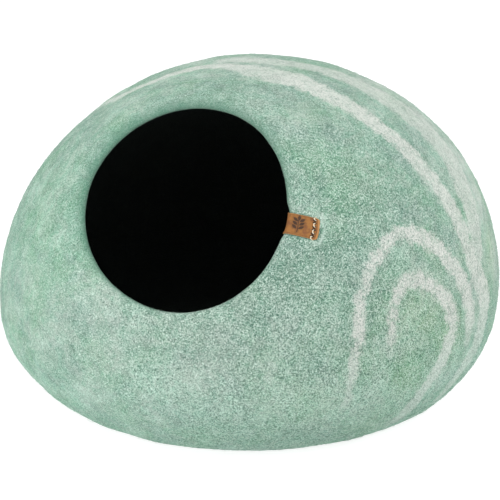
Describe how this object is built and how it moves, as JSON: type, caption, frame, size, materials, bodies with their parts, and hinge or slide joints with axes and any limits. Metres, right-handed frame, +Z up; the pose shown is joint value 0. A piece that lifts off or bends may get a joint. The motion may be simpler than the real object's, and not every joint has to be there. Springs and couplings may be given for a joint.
{
  "type": "felt cat cave",
  "caption": "Hollow pebble-shaped wool felt cat bed with a round opening in its front, a flat base and a folded leather tag on the lip.",
  "frame": {"origin": "middle of the object's box, on the surface that it rests on", "axes": "+Z up; the opening faces -Y and rises 37 degrees; +X is to the right of someone facing the opening"},
  "size_m": [0.5, 0.497, 0.3346],
  "materials": {
    "mint_felt": "matte, fuzzy wool felt in mottled mint green with pale curved stripes; the inner face is charcoal wool",
    "tan_leather": "smooth tan leather with raw edges, a small burnt-in sprig and a row of pale stitches"
  },
  "bodies": {
    "root": {"felt_shell": "mint_felt", "leather_tag": "tan_leather"}
  },
  "joints": []
}
